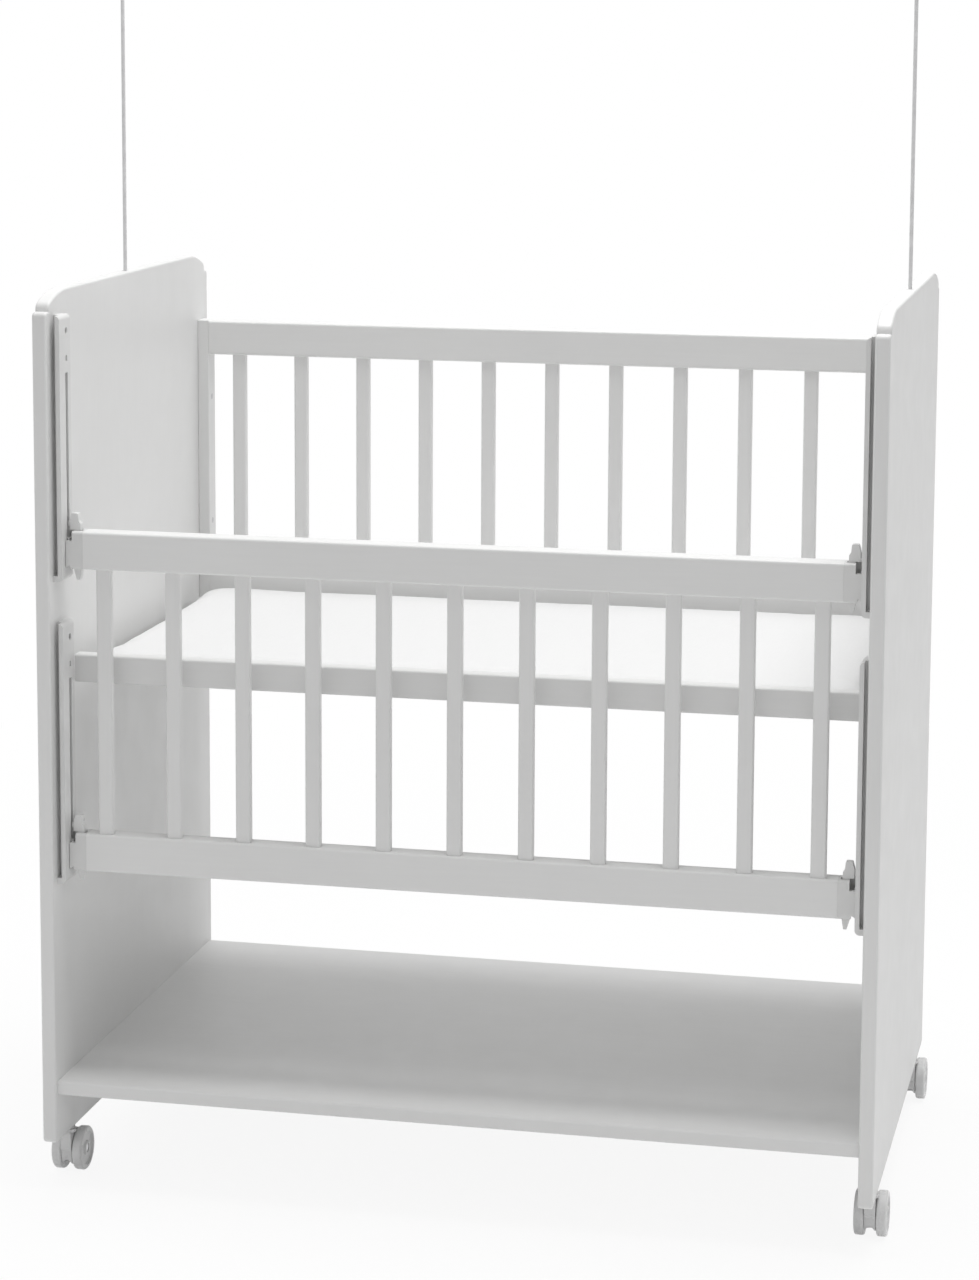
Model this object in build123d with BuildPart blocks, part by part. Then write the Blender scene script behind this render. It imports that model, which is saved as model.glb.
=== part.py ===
from build123d import *
import math
import os

os.makedirs("parts", exist_ok=True)

# Mini crib. X runs along the crib from the left end to the right end, Y from the
# front (the drop side) to the back, Z up. The origin is on the floor, under the
# middle of the crib. Lengths in millimetres.

# Overall
length = 860.0
depth = 545.0
panel_thick = 15.0
post_top_z = 916.0
crest_z = 936.0

# Outline of an end panel
post_ledge = 10.0
shoulder_step = 7.0
shoulder_run = 56.0
shoulder_corner_r = 9.0
panel_corner_r = 5.0
board_edge_r = 2.5

# Slatted sides
slat_count = 11
slat_pitch = 73.4
slat_width = 15.6
slat_thick = 10.0
slat_edge_r = 2.5
tenon_width = 11.0
tenon_thick = 6.0
tenon_length = 8.0
tenon_clear = 0.1
rail_height = 39.0
rail_thick = 24.0
rail_edge_r = 3.0
slat_setback = 4.0

# Fixed back side
back_setback = 14.0
back_top_rail_z = 821.0
back_bottom_rail_z = 536.0
stile_width = 13.0
stile_edge_r = 1.0

# Drop side, lowered
drop_inset = 23.0
drop_top_rail_z = 652.0
drop_slat_length = 276.0
drop_travel = 169.0

# Guides on the end panels, measured out from the panel's inner face
guide_inset = 12.5
guide_width = 33.0
guide_length = 271.5
guide_below_rail = 12.0
guide_foot_thick = 5.0
guide_foot_width = 20.0
guide_sole = 6.0
guide_depth = 9.6
guide_corner_r = 5.0
slot_mouth = 7.0
slot_chamber = 14.0
slot_floor = 3.6
slot_lip = 2.0

# Shoes and latches at the four ends of the drop side. The slot, the T heads and the
# latches share one line, set back from the drop side's front.
slide_setback = 10.5
slide_clear = 0.4
stop_gap = 0.3
shoe_gap = 0.5
shoe_width = 18.0
head_above_underside = 4.0
head_height = 27.0
corner_notch_width = 6.4
corner_notch_drop = 10.0
latch_width = 8.0
latch_clear = 0.3
latch_rise = 17.8
latch_drop = 11.5
latch_stem = 7.0
latch_pivot_out = 11.0
latch_pivot_below = 6.0
latch_nose_above = 7.0
latch_nose_width = 4.0
latch_nose_height = 5.0
pivot_r = 1.5
pivot_clear = 0.05
pin_wall = 2.0
back_plate = 2.2
catch_depth = 2.5

# Bed base and mattress
bed_end_gap = 9.0
bed_front_gap = 2.5
bed_back_gap = 6.0
bed_z = 517.5
bed_front_rail_height = 29.0
batten_height = 12.0
bed_rail_thick = 18.0
bed_board_thick = 6.0
bed_rebate = 6.0
bed_rebate_clear = 0.15
mattress_thick = 16.2
mattress_crown = 4.0
mattress_gap = 1.5
mattress_corner_r = 30.0
mattress_draw_in = 2.0
mattress_edge_r = 6.0
soft_clear = 0.3
bracket_width = 30.0
bracket_drop = 22.0
bracket_reach = 24.0
bracket_thick = 2.0
bracket_inset = 170.0
end_batten_setback = 45.0

# Shelf
shelf_z = 101.5
shelf_thick = 15.0
shelf_inset = 5.0

# Canopy hoop
hoop_r = 2.0
hoop_top_z = 1380.0
hoop_bend_r = 90.0
hoop_join_z = 1264.0
hoop_end_gap = 0.5
hoop_clear = 0.05
socket_r = 4.0
socket_depth = 24.0
sleeve_r = 3.5
sleeve_length = 36.0

# Casters
caster_inset = 57.0
caster_trail = 14.0
wheel_r = 23.0
wheel_width = 10.5
wheel_bore_clear = 0.05
wheel_gap = 12.0
foot_above_wheels = 5.0
web_clear = 0.4
tread_r = 2.5
axle_r = 2.5
axle_head_r = 4.2
axle_head_thick = 1.2
hub_recess = 2.2
stem_r = 4.0
stem_clear = 0.06
stem_head_r = 5.2
stem_head_thick = 2.0
insert_r = 5.2
insert_depth = 25.0
insert_collar_r = 7.2
insert_collar_thick = 2.0
hood_cap_r = 8.5
hood_cap_thick = 3.5
hood_rim = 2.0
hood_above_floor = 10.0

# Fasteners
fit_clear = 0.05
dowel_r = 4.0
dowel_in_panel = 10.0
dowel_in_board = 24.0
stud_r = 3.0
stud_in_panel = 10.0
stud_reach = 26.0
cam_r = 7.5
cam_height = 12.0
cam_from_end = 20.0
stud_hole_clear = 0.6
screw_r = 1.75
screw_head_r = 3.4
screw_head_thick = 2.2
screw_in_panel = 9.0
shoe_screw_in_rail = 18.0

# Worked-out places
inner_width = length - 2 * panel_thick
front_y = -depth / 2
back_y = depth / 2
foot_z = 2 * wheel_r + foot_above_wheels
guide_front_y = front_y + guide_inset
drop_front_y = front_y + drop_inset
slide_y = drop_front_y + slide_setback
guide_face_y = guide_front_y + guide_width
drop_bottom_rail_z = drop_top_rail_z - drop_slat_length - rail_height
near_out = guide_depth + shoe_gap
rail_end_out = near_out + shoe_width
latch_pin_out = guide_depth + latch_pivot_out
back_front_y = back_y - back_setback - rail_thick
bed_front_y = drop_front_y + rail_thick + bed_front_gap
bed_back_y = back_front_y - bed_back_gap
hoop_y = 0.0
caster_ys = (front_y + caster_inset, back_y - caster_inset)
web_half = wheel_gap / 2 - web_clear
HANDS = ("left", "right")
LEVELS = ("upper", "lower")


def outward(hand):
    """Direction along X from an end panel's inner face into the crib."""
    return 1 if hand == "left" else -1


def out_x(hand, out):
    """X of a point that lies out from an end panel's inner face."""
    return outward(hand) * (out - inner_width / 2)


def facing_front(y):
    """Plane at y whose sketches read X across and Z up; it extrudes to the front."""
    return Plane(origin=(0, y, 0), x_dir=(1, 0, 0), z_dir=(0, -1, 0))


def facing_end(x):
    """Plane at x whose sketches read Y across and Z up; it extrudes to +X."""
    return Plane(origin=(x, 0, 0), x_dir=(0, 1, 0), z_dir=(1, 0, 0))


def finish(part, name):
    """Label a finished piece and write it."""
    part.label = name
    export_step(part, f"parts/{name}.step")


def level_z(level):
    """Underside of the drop side's rail at this level."""
    return drop_top_rail_z if level == "upper" else drop_bottom_rail_z


def board(x, y, z, edge_axis, radius):
    """Board between two corners, with the edges along one axis rounded."""
    with BuildPart() as piece:
        with BuildSketch(Plane.XY.offset(z[0])):
            with Locations(((x[0] + x[1]) / 2, (y[0] + y[1]) / 2)):
                Rectangle(x[1] - x[0], y[1] - y[0])
        extrude(amount=z[1] - z[0])
        fillet(piece.edges().filter_by(edge_axis), radius)
    return piece.part


def rod_along_x(spots, radius, x0, x1):
    """Round rods between two X planes, one at each (y, z) spot."""
    with BuildPart() as piece:
        with BuildSketch(facing_end(min(x0, x1))):
            with Locations(*spots):
                Circle(radius)
        extrude(amount=abs(x1 - x0))
    return piece.part


def screws_along_x(hand, spots, head_out, reach):
    """Flat-headed screws driven along X, head towards the crib's middle."""
    head_x = out_x(hand, head_out)
    way = outward(hand)
    neck_x = head_x - way * screw_head_thick
    with BuildPart() as piece:
        for y, z in spots:
            with BuildSketch(facing_end(neck_x)):
                with Locations((y, z)):
                    Circle(screw_r)
            extrude(amount=-way * reach)
            with BuildSketch(facing_end(neck_x)):
                with Locations((y, z)):
                    Circle(screw_head_r)
            extrude(amount=way * screw_head_thick)
    return piece.part


# Where things are fixed to an end panel, as (y, z) on its inner face
shelf_mid_z = shelf_z + shelf_thick / 2
shelf_dowel_spots = [(side * depth * 0.2, shelf_mid_z) for side in (-1, 1)]
shelf_stud_spots = [(side * depth * 0.37, shelf_mid_z) for side in (-1, 0, 1)]
back_mid_y = back_front_y + rail_thick / 2
back_rail_zs = (back_top_rail_z, back_bottom_rail_z)
back_dowel_spots = [(back_mid_y, z + rail_height * 0.72) for z in back_rail_zs]
back_stud_spots = [(back_mid_y, z + cam_height / 2 + 1.5) for z in back_rail_zs]
dowel_spots = shelf_dowel_spots + back_dowel_spots
stud_spots = shelf_stud_spots + back_stud_spots
stile_screw_zs = (back_top_rail_z - 50, back_bottom_rail_z + 90)
stile_screw_spots = [(back_mid_y, z) for z in stile_screw_zs]
bracket_ys = (bed_front_y + bracket_inset, bed_back_y - bracket_inset)
bracket_screw_spots = [(y + s * bracket_width / 4, bed_z - bracket_drop * 0.6)
                       for y in bracket_ys for s in (-1, 1)]


def guide_screw_spots(level):
    """Three screws up a guide: two in the slot's floor and one above the slot."""
    z0 = level_z(level) - guide_below_rail
    return [(slide_y, z0 + guide_length * share) for share in (0.12, 0.5, 0.94)]


# End panels
def end_panel(hand):
    inner_x = out_x(hand, 0)
    way = outward(hand)
    with BuildPart() as panel:
        with BuildSketch(facing_end(inner_x)) as outline:
            with BuildLine():
                start = (front_y + post_ledge, post_top_z + shoulder_step)
                crest = (start[0] + shoulder_run, crest_z)
                far_start = (-start[0], start[1])
                far_crest = (-crest[0], crest_z)
                TangentArc(crest, start, tangent=(-1, 0))
                Polyline(start, (start[0], post_top_z), (front_y, post_top_z), (front_y, foot_z),
                         (back_y, foot_z), (back_y, post_top_z), (far_start[0], post_top_z),
                         far_start)
                TangentArc(far_crest, far_start, tangent=(1, 0))
                Line(far_crest, crest)
            make_face()
            corners = outline.vertices().group_by(Axis.X)
            fillet(corners[0] + corners[-1], panel_corner_r)
            step_z = post_top_z + shoulder_step
            steps = [v for v in outline.vertices() if abs(v.Y - step_z) < 0.01]
            fillet(steps, shoulder_corner_r)
        extrude(amount=-way * panel_thick)
        fillet(panel.faces().filter_by(Axis.X).edges(), board_edge_r)
        screws = [spot for level in LEVELS for spot in guide_screw_spots(level)]
        screws += bracket_screw_spots + stile_screw_spots
        for spots, radius, deep in (
            (dowel_spots, dowel_r + fit_clear, dowel_in_panel + fit_clear),
            (stud_spots, stud_r + fit_clear, stud_in_panel + fit_clear),
            (screws, screw_r + fit_clear, screw_in_panel + fit_clear),
        ):
            with BuildSketch(facing_end(inner_x)):
                with Locations(*spots):
                    Circle(radius)
            extrude(amount=-way * deep, mode=Mode.SUBTRACT)
        mid_x = inner_x - way * panel_thick / 2
        with BuildSketch(Plane.XY.offset(crest_z)):
            with Locations((mid_x, hoop_y)):
                Circle(socket_r + fit_clear)
        extrude(amount=-socket_depth - fit_clear, mode=Mode.SUBTRACT)
        with BuildSketch(Plane.XY.offset(foot_z)):
            with Locations(*[(mid_x, y) for y in caster_ys]):
                Circle(insert_r + fit_clear)
        extrude(amount=insert_depth + fit_clear, mode=Mode.SUBTRACT)
    return panel.part


for hand in HANDS:
    finish(end_panel(hand), f"{hand}_end_panel")


# Holes that the dowels, studs and cams need in a board between the panels
def end_fixings(end_out, dowels, studs, under_z):
    """Dowel holes, stud holes and cam pockets for a board that ends this far out."""
    with BuildPart() as holes:
        for hand in HANDS:
            end_x = out_x(hand, 0)
            way = outward(hand)
            with BuildSketch(facing_end(end_x)):
                with Locations(*dowels):
                    Circle(dowel_r + fit_clear)
            extrude(amount=way * (end_out + dowel_in_board + fit_clear))
            with BuildSketch(facing_end(end_x)):
                with Locations(*studs):
                    Circle(stud_r + stud_hole_clear)
            extrude(amount=way * (end_out + stud_reach))
            with BuildSketch(Plane.XY.offset(under_z)):
                cam_x = out_x(hand, end_out + cam_from_end)
                with Locations(*[(cam_x, y) for y, z in studs]):
                    Circle(cam_r + fit_clear)
            extrude(amount=cam_height + fit_clear)
    return holes.part


# Shelf
with BuildPart() as shelf:
    with BuildSketch(Plane.XY.offset(shelf_z)):
        Rectangle(inner_width, depth - 2 * shelf_inset)
    extrude(amount=shelf_thick)
    fillet(shelf.edges().filter_by(Axis.X), rail_edge_r)
    add(end_fixings(0, shelf_dowel_spots, shelf_stud_spots, shelf_z), mode=Mode.SUBTRACT)
finish(shelf.part, "shelf")


# Slatted sides
def tenon_grid(y, clear):
    """Sketch of one side's tenons or mortises, seen from above."""
    with Locations((0, y)):
        with GridLocations(slat_pitch, 1, slat_count, 1):
            Rectangle(tenon_width + 2 * clear, tenon_thick + 2 * clear)


def side_rail(end_out, y0, z0, slats_above):
    """Rail of a slatted side, with a mortise for each slat."""
    with BuildPart() as rail:
        with BuildSketch(Plane.XY.offset(z0)):
            with Locations((0, y0 + rail_thick / 2)):
                Rectangle(inner_width - 2 * end_out, rail_thick)
        extrude(amount=rail_height)
        fillet(rail.edges().filter_by(Axis.X), rail_edge_r)
        slat_y = y0 + slat_setback + slat_thick / 2
        with BuildSketch(Plane.XY.offset(z0 + rail_height if slats_above else z0)):
            tenon_grid(slat_y, tenon_clear)
        deep = tenon_length + tenon_clear
        extrude(amount=-deep if slats_above else deep, mode=Mode.SUBTRACT)
    return rail.part


def side_slats(y0, z0, z1):
    """Upright slats between two rails, with a tenon at each end."""
    slat_y = y0 + slat_setback + slat_thick / 2
    with BuildPart() as slats:
        with BuildSketch(Plane.XY.offset(z0)):
            with Locations((0, slat_y)):
                with GridLocations(slat_pitch, 1, slat_count, 1):
                    RectangleRounded(slat_width, slat_thick, slat_edge_r)
        extrude(amount=z1 - z0)
        with BuildSketch(Plane.XY.offset(z0 - tenon_length)):
            tenon_grid(slat_y, 0)
        extrude(amount=z1 - z0 + 2 * tenon_length)
    return slats.part


with BuildPart() as back_top_rail:
    add(side_rail(stile_width, back_front_y, back_top_rail_z, False))
    add(end_fixings(stile_width, back_dowel_spots[:1], back_stud_spots[:1], back_top_rail_z),
        mode=Mode.SUBTRACT)
finish(back_top_rail.part, "back_top_rail")

with BuildPart() as back_bottom_rail:
    add(side_rail(stile_width, back_front_y, back_bottom_rail_z, True))
    add(end_fixings(stile_width, back_dowel_spots[1:], back_stud_spots[1:], back_bottom_rail_z),
        mode=Mode.SUBTRACT)
finish(back_bottom_rail.part, "back_bottom_rail")

back_slats = side_slats(back_front_y, back_bottom_rail_z + rail_height, back_top_rail_z)
finish(back_slats, "back_slats")

with BuildPart() as back_stiles:
    for hand in HANDS:
        way = outward(hand)
        stile_xs = sorted((out_x(hand, 0), out_x(hand, stile_width)))
        add(board(stile_xs, (back_front_y, back_front_y + rail_thick),
                  (back_bottom_rail_z, back_top_rail_z + rail_height), Axis.Z, stile_edge_r))
        for spots, radius in ((back_dowel_spots, dowel_r + fit_clear),
                              (back_stud_spots, stud_r + stud_hole_clear),
                              (stile_screw_spots, screw_r + fit_clear)):
            with BuildSketch(facing_end(out_x(hand, 0))):
                with Locations(*spots):
                    Circle(radius)
            extrude(amount=way * stile_width, mode=Mode.SUBTRACT)
        with BuildSketch(facing_end(out_x(hand, stile_width))):
            with Locations(*stile_screw_spots):
                Circle(screw_head_r + fit_clear)
        extrude(amount=-way * (screw_head_thick + fit_clear), mode=Mode.SUBTRACT)
finish(back_stiles.part, "back_stiles")


# Drop side
def drop_rail(z0, slats_above):
    """Rail of the drop side, with pilot holes for the shoe screws in its ends."""
    with BuildPart() as rail:
        add(side_rail(rail_end_out, drop_front_y, z0, slats_above))
        for hand in HANDS:
            with BuildSketch(facing_end(out_x(hand, rail_end_out))):
                with Locations(*shoe_screw_spots(z0)):
                    Circle(screw_r + fit_clear)
            extrude(amount=outward(hand) * shoe_screw_in_rail, mode=Mode.SUBTRACT)
    return rail.part


pocket_half = latch_width / 2 + latch_clear
shoe_back_y = drop_front_y + rail_thick
shoe_screw_y = (slide_y + pocket_half + shoe_back_y) / 2


def shoe_screw_spots(rail_z):
    """Two screws that hold one shoe to the end of a rail."""
    return [(shoe_screw_y, rail_z + rail_height * share) for share in (0.2, 0.6)]


finish(drop_rail(drop_top_rail_z, False), "drop_side_top_rail")
finish(drop_rail(drop_bottom_rail_z, True), "drop_side_bottom_rail")

drop_slats = side_slats(drop_front_y, drop_bottom_rail_z + rail_height, drop_top_rail_z)
finish(drop_slats, "drop_side_slats")


# Guides: a foot against the panel, and a wider body with a T slot up it
def block(hand, outs, y, z):
    """Block between two distances out from a panel, two Y and two Z."""
    xs = sorted(out_x(hand, out) for out in outs)
    with BuildPart() as piece:
        with BuildSketch(Plane.XY.offset(z[0])):
            with Locations((sum(xs) / 2, (y[0] + y[1]) / 2)):
                Rectangle(xs[1] - xs[0], y[1] - y[0])
        extrude(amount=z[1] - z[0])
    return piece.part


def block_cut(hand, outs, y, z):
    """Take a block away from the piece being built."""
    add(block(hand, outs, y, z), mode=Mode.SUBTRACT)


def block_add(hand, outs, y, z):
    """Join a block to the piece being built."""
    add(block(hand, outs, y, z))


def guide(hand, level):
    z0 = level_z(level) - guide_below_rail
    z1 = z0 + guide_length
    head_bottom = level_z(level) + head_above_underside
    slot_z = (head_bottom - stop_gap, head_bottom + head_height + drop_travel + stop_gap)
    foot_half = guide_foot_width / 2
    way = outward(hand)
    with BuildPart() as track:
        with BuildSketch(facing_front(guide_face_y)) as side_view:
            with Locations((out_x(hand, guide_depth / 2), (z0 + z1) / 2)):
                Rectangle(guide_depth, guide_length)
            free = side_view.vertices().group_by(Axis.X)[-1 if hand == "left" else 0]
            fillet(free, guide_corner_r)
        extrude(amount=guide_width)
        for ys in ((guide_front_y, slide_y - foot_half), (slide_y + foot_half, guide_face_y)):
            block_cut(hand, (0, guide_foot_thick), ys, (z0 + guide_sole, z1))
        for outs, half in (((slot_floor, guide_depth - slot_lip), slot_chamber / 2),
                           ((guide_depth - slot_lip, guide_depth), slot_mouth / 2)):
            block_cut(hand, outs, (slide_y - half, slide_y + half), slot_z)
        catch_mid = level_z(level) + rail_height + latch_nose_above + drop_travel
        catch_half = latch_nose_width / 2 + slide_clear
        catch_rise = latch_nose_height / 2 + slide_clear
        block_cut(hand, (guide_depth - catch_depth, guide_depth),
                  (slide_y - catch_half, slide_y + catch_half),
                  (catch_mid - catch_rise, catch_mid + catch_rise))
        for y, z in guide_screw_spots(level):
            in_slot = z < slot_z[1]
            seat_out = slot_floor if in_slot else guide_depth
            with BuildSketch(facing_end(out_x(hand, seat_out))):
                with Locations((y, z)):
                    Circle(screw_head_r + fit_clear)
            head_room = seat_out - slot_floor + screw_head_thick + fit_clear
            extrude(amount=-way * head_room, mode=Mode.SUBTRACT)
            with BuildSketch(facing_end(out_x(hand, slot_floor))):
                with Locations((y, z)):
                    Circle(screw_r + fit_clear)
            extrude(amount=-way * slot_floor, mode=Mode.SUBTRACT)
    return track.part


for hand in HANDS:
    for level in LEVELS:
        finish(guide(hand, level), f"{hand}_{level}_guide")


# Shoes: each carries the rail's section on to the guide, with a T head in the slot
def shoe(hand, level):
    z0 = level_z(level)
    z1 = z0 + rail_height
    head_z = (z0 + head_above_underside, z0 + head_above_underside + head_height)
    pivot_z = z1 - latch_pivot_below
    way = outward(hand)
    neck_half = slot_mouth / 2 - slide_clear
    head_half = slot_chamber / 2 - slide_clear
    pocket_front_y = slide_y - pocket_half
    pocket_back_y = slide_y + pocket_half
    wall_out = near_out + slot_lip
    lip_out = guide_depth - slot_lip - slide_clear
    shoe_xs = sorted((out_x(hand, near_out), out_x(hand, rail_end_out)))
    with BuildPart() as body:
        add(board(shoe_xs, (drop_front_y, shoe_back_y), (z0, z1), Axis.X, rail_edge_r))
        block_cut(hand, (wall_out, rail_end_out - back_plate), (pocket_front_y, pocket_back_y),
                  (z0, z1))
        block_cut(hand, (near_out, wall_out), (pocket_front_y, pocket_back_y), (head_z[1], z1))
        block_cut(hand, (near_out, near_out + corner_notch_width), (drop_front_y, pocket_front_y),
                  (z1 - corner_notch_drop, z1))
        block_add(hand, (lip_out, wall_out), (slide_y - neck_half, slide_y + neck_half), head_z)
        block_add(hand, (slot_floor + slide_clear, lip_out),
                  (slide_y - head_half, slide_y + head_half), head_z)
        with BuildSketch(facing_front(shoe_back_y)):
            with Locations((out_x(hand, latch_pin_out), pivot_z)):
                Circle(pivot_r + fit_clear)
        extrude(amount=rail_thick - pin_wall, mode=Mode.SUBTRACT)
        vee = ((near_out, z0), (near_out, z0 + 1.5), (near_out + 3.8, z0 + 4.5),
               (near_out + 5.0, z0))
        with BuildSketch(facing_front(shoe_back_y)):
            with BuildLine():
                Polyline(*[(out_x(hand, out), z) for out, z in vee], close=True)
            make_face()
        extrude(amount=rail_thick, mode=Mode.SUBTRACT)
        for y, z in shoe_screw_spots(z0):
            with BuildSketch(facing_end(out_x(hand, rail_end_out))):
                with Locations((y, z)):
                    Circle(screw_r + fit_clear)
            extrude(amount=-way * shoe_width, mode=Mode.SUBTRACT)
            with BuildSketch(facing_end(out_x(hand, rail_end_out - back_plate))):
                with Locations((y, z)):
                    Circle(screw_head_r + fit_clear)
            extrude(amount=-way * shoe_width, mode=Mode.SUBTRACT)
    return body.part


for hand in HANDS:
    for level in LEVELS:
        finish(shoe(hand, level), f"{hand}_{level}_shoe")


def group(pieces):
    """Several separate like pieces kept as one node."""
    return Compound(children=[solid for piece in pieces for solid in piece.solids()])


shoe_screws = []
for hand in HANDS:
    for level in LEVELS:
        head_out = rail_end_out - back_plate - screw_head_thick
        way = outward(hand)
        for y, z in shoe_screw_spots(level_z(level)):
            with BuildPart() as screw:
                with BuildSketch(facing_end(out_x(hand, head_out))):
                    with Locations((y, z)):
                        Circle(screw_head_r)
                extrude(amount=way * screw_head_thick)
                with BuildSketch(facing_end(out_x(hand, rail_end_out - back_plate))):
                    with Locations((y, z)):
                        Circle(screw_r)
                extrude(amount=way * (back_plate + shoe_screw_in_rail - 1))
            shoe_screws.append(screw.part)
finish(group(shoe_screws), "shoe_screws")


# Latches: a rocker on a cross pin, with a thumb tab and a nose above the rail and a tail
# below it. The outline's points are out from the guide's face and up from the rail's
# top (the first eight) or from its underside.
latch_inner = latch_pivot_out - latch_stem / 2
latch_outer = latch_pivot_out + latch_stem / 2
latch_tab_near = 2.8


def latch(hand, level):
    rail_z = level_z(level)
    top_z = rail_z + rail_height
    upper = [
        (latch_inner, 0.9),
        (latch_tab_near, 0.9),
        (latch_tab_near, 10.5),
        (latch_tab_near + 2.0, latch_rise),
        (latch_outer - 3.0, latch_rise),
        (latch_outer - 2.3, 10.0),
        (latch_outer - 0.4, 7.0),
        (latch_outer, -2.0),
    ]
    lower = [
        (latch_outer, -2.0),
        (latch_outer - 1.6, -latch_drop),
        (latch_outer - 4.8, -latch_drop),
        (latch_inner - 2.1, 4.0),
        (latch_inner, 12.0),
    ]
    outline = [(out, top_z + rise) for out, rise in upper]
    outline += [(out, rail_z + rise) for out, rise in lower]
    nose_mid = top_z + latch_nose_above
    nose_half = latch_nose_width / 2
    with BuildPart() as rocker:
        with BuildSketch(facing_front(slide_y + latch_width / 2)) as profile:
            with BuildLine():
                Polyline(*[(out_x(hand, guide_depth + out), z) for out, z in outline], close=True)
            make_face()
            ends = profile.vertices().group_by(Axis.Y)
            fillet(ends[-1], 1.5)
            fillet(ends[0], 1.2)
            with Locations((out_x(hand, latch_pin_out), top_z - latch_pivot_below)):
                Circle(pivot_r + pivot_clear, mode=Mode.SUBTRACT)
        extrude(amount=latch_width)
        block_add(hand, (guide_depth + slide_clear, guide_depth + latch_tab_near),
                  (slide_y - nose_half, slide_y + nose_half),
                  (nose_mid - latch_nose_height / 2, nose_mid + latch_nose_height / 2))
    return rocker.part


for hand in HANDS:
    for level in LEVELS:
        finish(latch(hand, level), f"{hand}_{level}_latch")

latch_pins = []
pin_length = rail_thick - pin_wall - 0.5
for hand in HANDS:
    for level in LEVELS:
        pivot_z = level_z(level) + rail_height - latch_pivot_below
        with BuildPart() as pin:
            with BuildSketch(facing_front(drop_front_y + pin_wall + pin_length)):
                with Locations((out_x(hand, latch_pin_out), pivot_z)):
                    Circle(pivot_r)
            extrude(amount=pin_length)
        latch_pins.append(pin.part)
finish(group(latch_pins), "latch_pins")

# A bent leaf behind each latch pushes its thumb end towards the guide
leaf_thick = 0.4
leaf_width = 6.0
latch_springs = []
for hand in HANDS:
    for level in LEVELS:
        rail_z = level_z(level)
        top_z = rail_z + rail_height
        wall_out = rail_end_out - back_plate
        bend_out = guide_depth + latch_outer + soft_clear
        leaf = [
            (wall_out, rail_z + 7),
            (wall_out, top_z - 8),
            (bend_out + leaf_thick, top_z - 1.0),
            (bend_out, top_z - 1.0),
            (wall_out - leaf_thick, top_z - 8.3),
            (wall_out - leaf_thick, rail_z + 7),
        ]
        with BuildPart() as spring:
            with BuildSketch(facing_front(slide_y + leaf_width / 2)):
                with BuildLine():
                    Polyline(*[(out_x(hand, out), z) for out, z in leaf], close=True)
                make_face()
            extrude(amount=leaf_width)
        latch_springs.append(spring.part)
finish(group(latch_springs), "latch_springs")


# Bed base: a board on three battens, with a taller front rail over its front edge
bed_x0 = out_x("left", bed_end_gap)
bed_x1 = out_x("right", bed_end_gap)
board_z = bed_z + batten_height
rail_back_y = bed_front_y + bed_rail_thick
bed_screw_out = bed_end_gap + bed_rail_thick * 0.4
bed_screw_reach = 10.0

with BuildPart() as bed_front_rail:
    add(board((bed_x0, bed_x1), (bed_front_y, rail_back_y),
              (board_z, board_z + bed_front_rail_height), Axis.X, board_edge_r))
    with BuildSketch(Plane.XY.offset(board_z)):
        with Locations((0, rail_back_y)):
            Rectangle(bed_x1 - bed_x0, 2 * (bed_rebate + bed_rebate_clear))
    extrude(amount=bed_board_thick + bed_rebate_clear, mode=Mode.SUBTRACT)
finish(bed_front_rail.part, "bed_front_rail")

vent_r = 9.0
vent_pitch = 90.0
with BuildPart() as bed_board:
    with BuildSketch(Plane.XY.offset(board_z)):
        with Locations((0, (rail_back_y - bed_rebate + bed_back_y) / 2)):
            Rectangle(bed_x1 - bed_x0, bed_back_y - rail_back_y + bed_rebate)
            with GridLocations(vent_pitch, vent_pitch, 8, 4):
                Circle(vent_r, mode=Mode.SUBTRACT)
    extrude(amount=bed_board_thick)
finish(bed_board.part, "bed_board")

with BuildPart() as bed_back_batten:
    add(board((bed_x0, bed_x1), (bed_back_y - bed_rail_thick, bed_back_y),
              (bed_z, board_z), Axis.X, board_edge_r))
finish(bed_back_batten.part, "bed_back_batten")

with BuildPart() as bed_end_battens:
    for x0, x1 in ((bed_x0, bed_x0 + bed_rail_thick), (bed_x1 - bed_rail_thick, bed_x1)):
        add(board((x0, x1), (rail_back_y + end_batten_setback, bed_back_y - bed_rail_thick),
                  (bed_z, board_z), Axis.Y, board_edge_r))
    with BuildSketch(Plane.XY.offset(bed_z)):
        with Locations(*[(out_x(hand, bed_screw_out), y) for hand in HANDS for y in bracket_ys]):
            Circle(screw_r + fit_clear)
    extrude(amount=bed_screw_reach, mode=Mode.SUBTRACT)
finish(bed_end_battens.part, "bed_end_battens")


# Mattress: a thin crowned pad whose long edges draw in between its corners
def drawn_in_outline(inset, z):
    """Rounded rectangle with slightly drawn-in sides, inset from the pad's edge."""
    x0 = bed_x0 + mattress_gap + inset
    x1 = bed_x1 - mattress_gap - inset
    y0 = rail_back_y + mattress_gap + inset
    y1 = bed_back_y - mattress_gap - inset
    r = mattress_corner_r
    d = mattress_draw_in
    mx, my = (x0 + x1) / 2, (y0 + y1) / 2
    q = r * (1 - math.sqrt(0.5))
    with BuildSketch(Plane.XY.offset(z)) as outline:
        with BuildLine():
            ThreePointArc((x0 + r, y0), (mx, y0 + d), (x1 - r, y0))
            ThreePointArc((x1 - r, y0), (x1 - q, y0 + q), (x1, y0 + r))
            ThreePointArc((x1, y0 + r), (x1 - d, my), (x1, y1 - r))
            ThreePointArc((x1, y1 - r), (x1 - q, y1 - q), (x1 - r, y1))
            ThreePointArc((x1 - r, y1), (mx, y1 - d), (x0 + r, y1))
            ThreePointArc((x0 + r, y1), (x0 + q, y1 - q), (x0, y1 - r))
            ThreePointArc((x0, y1 - r), (x0 + d, my), (x0, y0 + r))
            ThreePointArc((x0, y0 + r), (x0 + q, y0 + q), (x0 + r, y0))
        make_face()
    return outline.sketch.face()


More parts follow.
